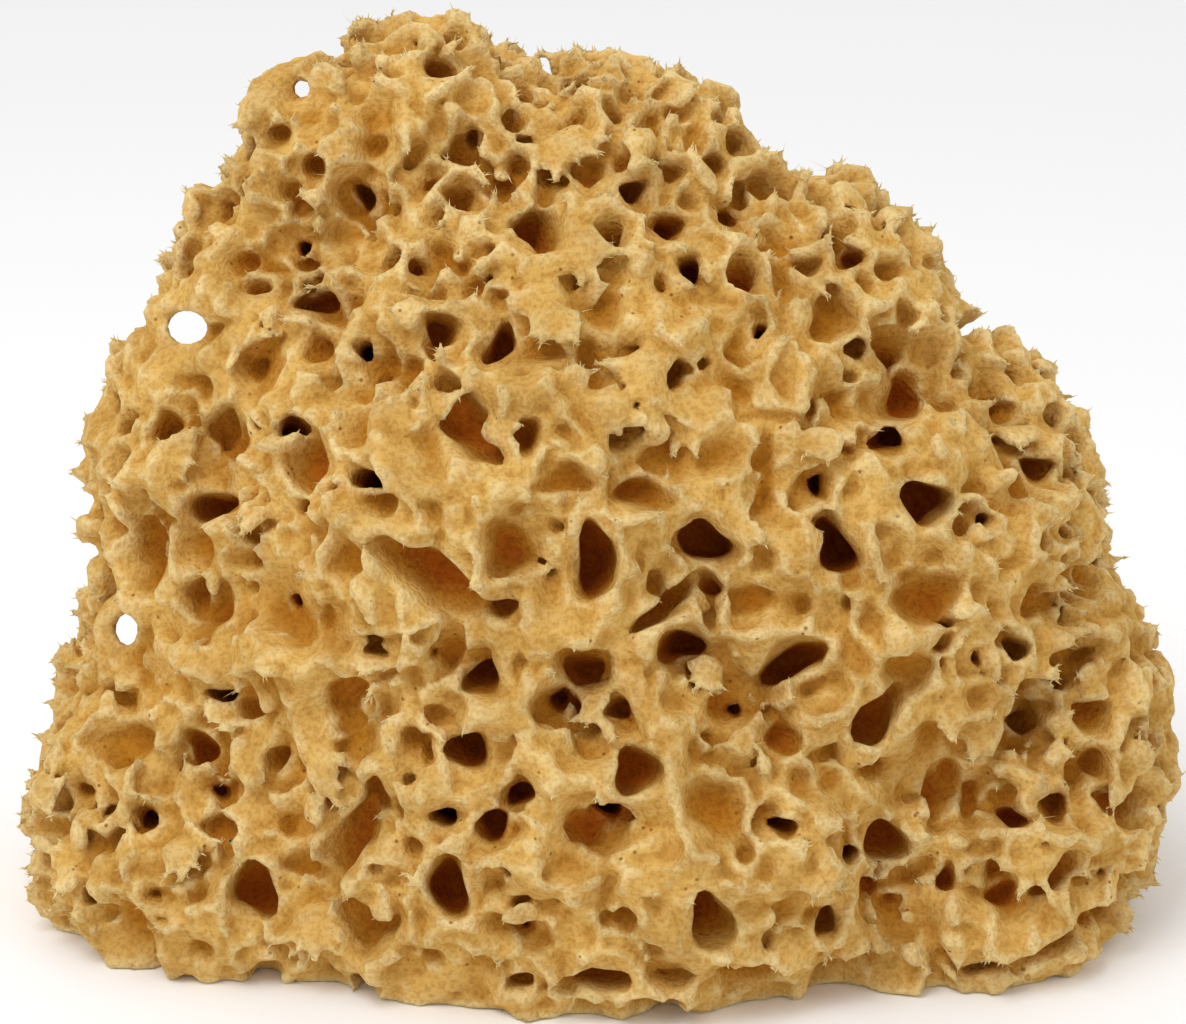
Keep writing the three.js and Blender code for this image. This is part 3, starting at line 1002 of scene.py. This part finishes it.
    def valleys(self, grid: VoxelField, skin: np.ndarray, normals: np.ndarray) -> np.ndarray:
        """Lays out the broad valleys between the large ridges.

        Args:
            grid: The fine grid.
            skin: Points over the skin.
            normals: Their outward directions.

        Returns:
            How deep the valleys are at each voxel of the fine grid.
        """
        overlap = 0.6
        coarse = VoxelField(
            tuple(grid.low), tuple(grid.low + np.array(grid.shape) * grid.step), self.valley_step
        )
        wobble = [2.2 * coarse.noise(10, self.rng) + 0.8 * coarse.noise(4, self.rng) for _ in range(3)]
        net = RidgeNet(coarse, wobble)
        centres, radii = np.full((1, 3), NOWHERE), np.zeros(1)
        for point, normal in zip(skin, normals):
            region = self.region(point, normal)
            radius = self.rng.uniform(4.5, 9.0)
            gap = np.linalg.norm(centres - point, axis=1) - radii - radius
            if gap.min() < -overlap:
                continue
            centres, radii = np.vstack([centres, point]), np.append(radii, radius)
            depth = self.rng.uniform(0.5, 4.5) if region is Region.FACE else self.rng.uniform(0, 2.2)
            depth = 0 if self.by_edge_hole(point[None])[0] else depth
            net.add(point, radius, depth)
        LOG.info("%d valleys", len(radii))
        relief = np.clip(net.relief(wall=0.5, sag=1.6, spike=0.6, bowl=1.6), 0, 9)
        for a in range(3):
            relief = stretch_axis(relief, a, np.arange(grid.shape[a]) * grid.step / coarse.step)
        return relief

    def crowd(
        self,
        grid: VoxelField,
        wobble: list[np.ndarray],
        skin: np.ndarray,
        normals: np.ndarray,
        placed: list[Opening],
        valleys: np.ndarray,
    ) -> tuple[np.ndarray, list[Opening]]:
        """Crowds cells round the listed openings.

        Args:
            grid: The fine grid.
            wobble: How far each voxel is pushed about, one grid for each axis.
            skin: Points over the skin.
            normals: Their outward directions.
            placed: The listed openings.
            valleys: How deep the valleys are at each voxel.

        Returns:
            The depth of the skin under its envelope, and the pits in the middle of the cells.
        """
        net = RidgeNet(grid, wobble)
        mouths = [(o.mouth, (o.width + o.height) / 4, min(o.depth, 5.0) * 0.3) for o in placed]
        for mouth, radius, depth in mouths:
            net.add(mouth, radius + 0.5, depth)
        centres = np.array([m[0] for m in mouths])
        radii = np.array([m[1] for m in mouths])
        pits = []
        # Calm skin, in patches on the broad face and all round the edge holes, has shallow cells and no pits.
        calm = grid.sample(grid.noise(15, self.rng), skin) > 0.06
        by_hole = self.by_edge_hole(skin)
        for point, normal, still, close in zip(skin, normals, calm, by_hole):
            if point[2] < -1:
                continue
            region = self.region(point, normal)
            still = close or (still and region is Region.FACE)
            weave = self.weave[region]
            radius = self.rng.uniform(*weave.radius)
            gap = np.linalg.norm(centres - point, axis=1) - radii - radius
            if gap.min() < 0:
                continue
            centres, radii = np.vstack([centres, point]), np.append(radii, radius)
            sink = radius * self.rng.uniform(*weave.sink)
            net.add(point + normal * 0.4, radius, sink * 0.3 if still else sink)
            if still or self.rng.random() > weave.pitted:
                continue
            pits.append(self.pit(point, normal, radius, weave))
        LOG.info("%d cells, %d pits", len(radii), len(pits))
        wall = 0.05 + 0.5 * np.clip(grid.noise(7, self.rng) + 0.1, 0, 1)
        spike = 2.4 * np.clip(grid.noise(2.6, self.rng) + 0.3, 0, 1)
        sag = 0.5 + 1.6 * np.clip(grid.noise(8, self.rng), 0, 1)
        return net.relief(wall, sag, spike, bowl=1.6) + valleys, pits

    def pit(self, point: np.ndarray, normal: np.ndarray, radius: float, weave: Weave) -> Opening:
        """Draws one pit in the middle of a cell.

        Args:
            point: The middle of the cell.
            normal: The way out of the skin there.
            radius: The cell's radius.
            weave: How the skin is woven there.

        Returns:
            The pit.
        """
        across = self.rng.normal(0, 1, 3)
        tilt = unit(normal + self.rng.normal(0, 0.25, 3))
        width = 2 * radius * self.rng.uniform(0.65, 0.95)
        height = width * self.rng.uniform(0.75, 1.1)
        depth = radius * self.rng.uniform(*weave.depth)
        fullness = self.rng.uniform(0.9, 1.8)
        return Opening(point, tilt, across, width, height, depth, 0.6, fullness=fullness)

    def back_openings(self, skin: np.ndarray, normals: np.ndarray) -> list[Opening]:
        """Spreads deep openings over the back.

        Args:
            skin: Points over the skin.
            normals: Their outward directions.

        Returns:
            The openings.
        """
        lowest, spacing = 4, 12
        made, centres = [], np.full((1, 3), NOWHERE)
        for point, normal in zip(skin[::-1], normals[::-1]):
            if point[2] < lowest or self.region(point, normal) is not Region.BACK:
                continue
            if np.linalg.norm(centres - point, axis=1).min() < spacing:
                continue
            centres = np.vstack([centres, point])
            tilt = unit(normal + self.rng.normal(0, 0.2, 3))
            width, height = self.rng.uniform(3, 7), self.rng.uniform(3, 6)
            depth = self.rng.uniform(6, 16)
            made.append(Opening(point, tilt, self.rng.normal(0, 1, 3), width, height, depth, 0.8))
        LOG.info("%d openings at the back", len(made))
        return made


@dataclass
class Growth:
    """The grown field and the envelope it was carved from.

    Attributes:
        grid: The grown field.
        envelope: The lobes' distances, before anything was carved.
        triangle_limit: How many triangles the lump's mesh is thinned to.
        close_reach: How far round a place its closest fibre is counted, in millimetres.
        round_reach: How far round a place the fibre farther off is counted, in millimetres.
        deepest: How deep under the envelope a place counts as fully sunk, in millimetres.
    """

    grid: VoxelField
    envelope: np.ndarray
    triangle_limit: int = 190_000
    close_reach: float = 1.1
    round_reach: float = 4.5
    deepest: float = 20.0

    def __post_init__(self) -> None:
        """Works out how crowded with fibre each place is, close by and farther round."""
        solid = (self.grid.values < 0).astype(np.float32)
        self.close = box_blur(solid, max(round(self.close_reach / self.grid.step), 1))
        self.round = box_blur(solid, round(self.round_reach / self.grid.step))
        self.points, self.triangles = largest_body(*self.grid.surface())
        LOG.info("surface of %d triangles", len(self.triangles))

    def to_part(self, points: np.ndarray) -> np.ndarray:
        """Moves points from the lobes' own millimetres into the part's box.

        Args:
            points: The points, one row each.

        Returns:
            The points in metres, the lump's surface filling the box.
        """
        low, high = (np.array(corner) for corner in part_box("sponge"))
        first, last = self.points.min(0), self.points.max(0)
        return low + (points - first) / (last - first) * (high - low)

    def guides(self, places: np.ndarray) -> dict[str, np.ndarray]:
        """Works out what the finish reads at each place, where it paints light on the crests and shade in the
        hollows and openings.

        Args:
            places: The places, one row each.

        Returns:
            How bare of fibre each is close by ("ridge") and farther round ("open"), and how deep it lies
            ("sunk"), all from 0 to 1.
        """
        return {
            "ridge": 1 - self.grid.sample(self.close, places),
            "open": 1 - self.grid.sample(self.round, places),
            "sunk": np.clip(-self.grid.sample(self.envelope, places) / self.deepest, 0, 1),
        }

    def body(self) -> bpy.types.Object:
        """Makes the lump.

        Returns:
            Its thinned mesh, in the part's frame, with its guides.
        """
        body = mesh_object("sponge_body", self.points, self.triangles)
        thin = body.modifiers.new("thin", "DECIMATE")
        thin.ratio = min(1.0, self.triangle_limit / len(self.triangles))
        bpy.context.view_layer.update()
        graph = bpy.context.evaluated_depsgraph_get()
        thinned = bpy.data.meshes.new_from_object(body.evaluated_get(graph))
        full = body.data
        body.modifiers.clear()
        body.data = thinned
        bpy.data.meshes.remove(full)
        thinned.name = "sponge_body"
        places = mesh_points(thinned)
        add_guides(thinned, self.guides(places))
        thinned.vertices.foreach_set("co", self.to_part(places).astype(np.float32).ravel())
        LOG.info("thinned to %d faces", len(thinned.polygons))
        return body


@dataclass
class FibreFringe:
    """The stiff points and loose fibres that stand on the ridges. Lengths and radii are in millimetres.

    Attributes:
        growth: The sponge that they stand on.
        seed: Where the random draws start.
        points: How many stiff points there are.
        whiskers: How many loose fibres there are.
        lowest: How high above the floor the lowest may stand.
        candidates: How many places on the surface they are chosen from.
        least_ridge: The least that their guide says of standing on a ridge, which gives them the ridges'
            painted light and keeps them pale.
    """

    growth: Growth
    seed: int = 11
    points: int = 5000
    whiskers: int = 350
    lowest: float = 1.5
    candidates: int = 400_000
    least_ridge: float = 0.75

    def build(self) -> bpy.types.Object:
        """Makes all the points and fibres as one mesh of thin cones.

        Returns:
            The mesh object, in the part's frame, with its guides.
        """
        rng = np.random.default_rng(self.seed)
        roots = self.roots(rng)
        count = len(roots)
        away = unit(self.slope(roots) + rng.normal(0, 0.35, (count, 3)))
        thin = np.arange(count) < self.whiskers
        radius = np.where(thin, rng.uniform(0.03, 0.05, count), rng.uniform(0.06, 0.15, count))
        length = np.where(thin, rng.uniform(0.7, 1.6, count), rng.uniform(0.3, 0.9, count))
        swerve = rng.normal(0, 0.45, (count, 3)) * np.where(thin, 0.9, 0.3)[:, None]
        helper = unit(rng.normal(0, 1, (count, 3)))
        side = unit(np.cross(away, helper))
        third = np.cross(away, side)
        rings = []
        # Each cone has a ring sunk in the ridge, its thickest ring just over the skin, and a tip.
        for share, thickness in ((-0.4, 0.4), (0.1, 1.0)):
            middle = roots + away * (length * share)[:, None]
            middle = middle + swerve * (length * share * abs(share))[:, None]
            for corner in range(3):
                angle = 2 * math.pi * corner / 3
                out = side * math.cos(angle) + third * math.sin(angle)
                rings.append(middle + out * (radius * thickness)[:, None])
        tips = roots + away * length[:, None] + swerve * length[:, None]
        vertices = np.stack([*rings, tips], 1).reshape(-1, 3)
        faces = [(2, 1, 0)]
        for corner in range(3):
            after = (corner + 1) % 3
            faces += [(corner, after, 3 + after), (corner, 3 + after, 3 + corner), (3 + corner, 3 + after, 6)]
        corners_each = len(rings) + 1
        triangles = (np.arange(count)[:, None, None] * corners_each + np.array(faces)).reshape(-1, 3)
        fringe = mesh_object("sponge_fibres", self.growth.to_part(vertices), triangles, smooth=False)
        guides = self.growth.guides(vertices)
        # Painted light: the points and fibres are painted at least this much as lit ridges, so they stay
        # pale.
        guides["ridge"] = np.maximum(guides["ridge"], self.least_ridge)
        add_guides(fringe.data, guides)
        LOG.info("%d points and fibres", count)
        return fringe

    def roots(self, rng: np.random.Generator) -> np.ndarray:
        """Chooses the places with the least fibre round them: the tips and sharp edges of the ridges.

        Args:
            rng: Where the random draws come from.

        Returns:
            The places, in a random order.
        """
        surface = self.growth.points
        places = surface[rng.permutation(len(surface))[: self.candidates]]
        places = places[places[:, 2] > self.lowest]
        crowding = self.growth.grid.sample(self.growth.close, places)
        depth = -self.growth.grid.sample(self.growth.envelope, places)
        order = np.argsort(crowding + 0.02 * np.maximum(depth, 0) + rng.uniform(0, 0.4, len(places)))
        chosen = places[order[: self.points + self.whiskers]]
        return chosen[rng.permutation(len(chosen))]

    def slope(self, places: np.ndarray) -> np.ndarray:
        """Finds the way out of the crowd of fibre.

        Args:
            places: The places, one row each.

        Returns:
            The direction at each place.
        """
        grid, reach = self.growth.grid, 1.0
        steps = [
            grid.sample(self.growth.close, places - offset) - grid.sample(self.growth.close, places + offset)
            for offset in np.eye(3) * reach
        ]
        return unit(np.stack(steps, -1))


@dataclass(frozen=True)
class FibreFinish:
    """The dry honey-coloured fibre, with light and shade painted into its colour: painted light makes the
    ridges pale, painted shade makes the hollows orange (partly the fibre's own darker brown) and the openings
    red-brown.

    Attributes:
        name: The material's name.
        ridge: The colour of the ridges, pale with painted light.
        skin: The colour of the skin between the ridges.
        hollow: The colour of the hollows: painted shade, partly also the fibre's own darker brown.
        deep: The colour deep in the openings: red-brown painted shade.
        pore_shade: The colour of the fine pores: painted shade.
        roughness: How matte the fibre is.
        specular: How much it shines.
        translucency: How much of the light goes through the fibre.
        scatter: How far red, green and blue light spread in the fibre, as shares of the scale.
        scatter_scale: How far light spreads in the fibre, in metres.
        felted: Whether the surface has a felt of fibre and pores.
        felt_height: How high the felt's relief is, in metres.
    """

    name: str
    ridge: Triple = (0.69, 0.525, 0.245)
    skin: Triple = (0.61, 0.375, 0.105)
    hollow: Triple = (0.44, 0.195, 0.02)
    deep: Triple = (0.42, 0.11, 0.008)
    pore_shade: Triple = (0.16, 0.05, 0.006)
    roughness: float = 1.0
    specular: float = 0.06
    translucency: float = 0.2
    scatter: Triple = (1.0, 0.45, 0.12)
    scatter_scale: float = 0.002
    felted: bool = True
    felt_height: float = 0.0005

    def make(self) -> bpy.types.Material:
        """Makes the material.

        Returns:
            The material, which reads the guides that the mesh carries.
        """
        material = bpy.data.materials.new(self.name)
        material.use_nodes = True
        tree = material.node_tree
        nodes, links = tree.nodes, tree.links
        shader = nodes["Principled BSDF"]
        shader.inputs["Roughness"].default_value = self.roughness
        shader.inputs["Specular IOR Level"].default_value = self.specular
        shader.inputs["Subsurface Weight"].default_value = self.translucency
        shader.inputs["Subsurface Radius"].default_value = self.scatter
        shader.inputs["Subsurface Scale"].default_value = self.scatter_scale

        def guide(name: str) -> bpy.types.NodeSocket:
            """Reads a guide.

            Args:
                name: The guide's name.

            Returns:
                Its value at the place that is shaded.
            """
            node = nodes.new("ShaderNodeAttribute")
            node.attribute_name = name
            return node.outputs["Fac"]

        def span(value: bpy.types.NodeSocket, low: float, high: float) -> bpy.types.NodeSocket:
            """Turns a value into a share by a soft step.

            Args:
                value: The value.
                low: Where the share is still 0.
                high: Where the share reaches 1.

            Returns:
                The share.
            """
            node = nodes.new("ShaderNodeMapRange")
            node.interpolation_type = "SMOOTHSTEP"
            links.new(value, node.inputs["Value"])
            node.inputs["From Min"].default_value = low
            node.inputs["From Max"].default_value = high
            return node.outputs["Result"]

        def mixed(share: object, a: object, b: object, how: str = "MIX") -> bpy.types.NodeSocket:
            """Mixes two colours.

            Args:
                share: The share of the second colour, a number or a socket.
                a: The first colour, a tuple or a socket.
                b: The second colour, a tuple or a socket.
                how: The kind of mix.

            Returns:
                The mixed colour.
            """
            node = nodes.new("ShaderNodeMix")
            node.data_type = "RGBA"
            node.blend_type = how
            if isinstance(share, float):
                node.inputs["Factor"].default_value = share
            else:
                links.new(share, node.inputs["Factor"])
            for socket, value in (("A", a), ("B", b)):
                target = next(s for s in node.inputs if s.name == socket and s.type == "RGBA")
                if isinstance(value, tuple):
                    target.default_value = (*value, 1)
                else:
                    links.new(value, target)
            return next(s for s in node.outputs if s.type == "RGBA")

        coordinates = nodes.new("ShaderNodeTexCoord").outputs["Object"]

        def noise(scale: float, detail: float, rough: float) -> bpy.types.NodeSocket:
            """Makes cloudy noise.

            Args:
                scale: How many features it has in a metre.
                detail: How many finer layers are added to it.
                rough: How strong each finer layer is beside the last.

            Returns:
                The noise, mostly from 0.3 to 0.7.
            """
            node = nodes.new("ShaderNodeTexNoise")
            links.new(coordinates, node.inputs["Vector"])
            node.inputs["Scale"].default_value = scale
            node.inputs["Detail"].default_value = detail
            node.inputs["Roughness"].default_value = rough
            return node.outputs["Fac"]

        def dots(scale: float) -> bpy.types.NodeSocket:
            """Scatters dots.

            Args:
                scale: How many there are in a metre.

            Returns:
                The distance to the nearest dot, in their spacings.
            """
            node = nodes.new("ShaderNodeTexVoronoi")
            links.new(coordinates, node.inputs["Vector"])
            node.inputs["Scale"].default_value = scale
            return node.outputs["Distance"]

        # Painted shade in the hollows, where much fibre is round a place, partly also the fibre's own darker
        # brown.
        colour = mixed(span(guide("open"), 0.28, 0.53), self.hollow, self.skin)
        # Painted shade: creases, crowded with fibre close by, are painted half-way to the hollows' shade.
        colour = mixed(span(guide("ridge"), 0.36, 0.5), mixed(0.5, colour, self.hollow), colour)
        # Painted light: the crests, bare of fibre close by, are painted pale.
        colour = mixed(span(guide("ridge"), 0.5, 0.74), colour, self.ridge)
        # Painted shade: deep under the envelope and closed in by fibre, the openings are painted red-brown.
        deep_shade = mixed(span(guide("open"), 0.2, 0.36), self.deep, colour)
        colour = mixed(span(guide("sunk"), 0.2, 0.5), colour, deep_shade)
        clouds = noise(140, 1, 0.6)
        mottle = mixed(span(clouds, 0.3, 0.7), (0.86, 0.80, 0.70), (1.06, 1.06, 1.06))
        colour = mixed(1.0, colour, mottle, "MULTIPLY")
        if self.felted:
            fuzz = noise(1400, 1, 0.65)
            felt = mixed(span(fuzz, 0.3, 0.62), (0.86, 0.80, 0.72), (1.05, 1.05, 1.05))
            colour = mixed(1.0, colour, felt, "MULTIPLY")
            # Painted shade: the fine pores are dark dots painted in patches, with no hole under them.
            painted_pores = mixed(span(dots(450), 0.06, 0.15), mixed(0.75, colour, self.pore_shade), colour)
            colour = mixed(span(clouds, 0.5, 0.6), colour, painted_pores)
            bump = nodes.new("ShaderNodeBump")
            bump.inputs["Strength"].default_value = 0.8
            bump.inputs["Distance"].default_value = self.felt_height
            links.new(fuzz, bump.inputs["Height"])
            links.new(bump.outputs["Normal"], shader.inputs["Normal"])
        links.new(colour, shader.inputs["Base Color"])
        return material


@dataclass(frozen=True)
class Studio:
    """The pale floor, the soft lights and the camera, all worked out from the sponge's box.

    Attributes:
        lens: The camera's focal length, in millimetres.
        sensor: The width of its sensor, in millimetres.
        elevation_deg: How far above the horizon it stands, in degrees.
        distance_share: How far off it stands, in the sponge's widths.
        aim_height_share: How high it aims, as a share of the sponge's height.
        floor_share: How far the floor reaches each way, in the sponge's widths.
        floor_white: How pale the floor is.
        floor_roughness: How matte the floor is.
        key_way: The direction of the key light from where the camera aims, in twice the sponge's widths.
        key_size: The side of the key light, in the sponge's widths.
        key_share: How bright the key light makes what it shines on straight, as a share of full white.
        sky_share: How bright the light from all round is.
    """

    lens: float = 100.0
    sensor: float = 36.0
    elevation_deg: float = 18.0
    distance_share: float = 2.83
    aim_height_share: float = 0.44
    floor_share: float = 40.0
    floor_white: float = 0.97
    floor_roughness: float = 0.8
    key_way: Triple = (-0.7, -1.0, 1.9)
    key_size: float = 2.4
    key_share: float = 0.42
    sky_share: float = 0.86

    def build(self, low: Vector, high: Vector) -> None:
        """Makes the floor, lights and camera.

        Args:
            low: The lowest corner of the sponge's box.
            high: Its highest corner.
        """
        width = high.x - low.x
        aim = Vector(((low.x + high.x) / 2, 0, low.z + (high.z - low.z) * self.aim_height_share))
        self.camera(aim, width)
        self.floor(low.z, width)
        self.key_light(aim, width)
        world = bpy.data.worlds.new("studio")
        world.use_nodes = True
        background = world.node_tree.nodes["Background"]
        background.inputs["Color"].default_value = (1, 1, 1, 1)
        background.inputs["Strength"].default_value = self.sky_share
        bpy.context.scene.world = world
        bpy.context.scene.view_settings.view_transform = "Standard"

    def camera(self, aim: Vector, width: float) -> None:
        """Makes the camera.

        Args:
            aim: Where it looks.
            width: The sponge's width.
        """
        lean = math.radians(self.elevation_deg)
        back = Vector((0, -math.cos(lean), math.sin(lean)))
        camera = bpy.data.cameras.new("camera")
        camera.lens = self.lens
        camera.sensor_width = self.sensor
        holder = bpy.data.objects.new("camera", camera)
        holder.location = aim + back * width * self.distance_share
        holder.rotation_euler = (-back).to_track_quat("-Z", "Y").to_euler()
        bpy.context.scene.collection.objects.link(holder)
        bpy.context.scene.camera = holder

    def floor(self, height: float, width: float) -> None:
        """Makes a wide pale floor.

        Args:
            height: How high it lies.
            width: The sponge's width.
        """
        reach = width * self.floor_share
        mesh = bpy.data.meshes.new("floor")
        ways = ((-1, -1), (1, -1), (1, 1), (-1, 1))
        corners = [(reach * x, reach * y, height) for x, y in ways]
        mesh.from_pydata(corners, [], [(0, 1, 2, 3)])
        plane = bpy.data.objects.new("floor", mesh)
        material = bpy.data.materials.new("floor")
        material.use_nodes = True
        shader = material.node_tree.nodes["Principled BSDF"]
        shader.inputs["Base Color"].default_value = (self.floor_white, self.floor_white, self.floor_white, 1)
        shader.inputs["Roughness"].default_value = self.floor_roughness
        mesh.materials.append(material)
        bpy.context.scene.collection.objects.link(plane)
        plane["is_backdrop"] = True

    def key_light(self, aim: Vector, width: float) -> None:
        """Makes one large square light that looks at the sponge.

        Args:
            aim: Where it looks.
            width: The sponge's width.
        """
        lamp = bpy.data.lights.new("key", "AREA")
        lamp.size = self.key_size * width
        direction = Vector(self.key_way)
        distance = direction.length * width * 2
        lamp.energy = self.key_share * (math.pi * distance) ** 2
        holder = bpy.data.objects.new("key", lamp)
        holder.location = aim + direction * width * 2
        holder.rotation_euler = (-direction).to_track_quat("-Z", "Y").to_euler()
        bpy.context.scene.collection.objects.link(holder)


def main() -> None:
    """Builds the sponge and the studio round it."""
    logging.basicConfig(level=logging.INFO, format="%(relativeCreated)6d %(message)s")
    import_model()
    cad_low, cad_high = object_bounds()
    Studio().build(cad_low, cad_high)
    growth = SpongeBody(step=0.5).build()
    dressed = (
        (growth.body(), FibreFinish("sponge_fibre")),
        (FibreFringe(growth).build(), FibreFinish("loose_fibre", translucency=0.15, felted=False)),
    )
    for piece, finish in dressed:
        piece.data.materials.append(finish.make())
        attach(piece, "root")
        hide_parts("sponge")
        LOG.info("%s done", piece.name)


if __name__ == "__main__":
    main()
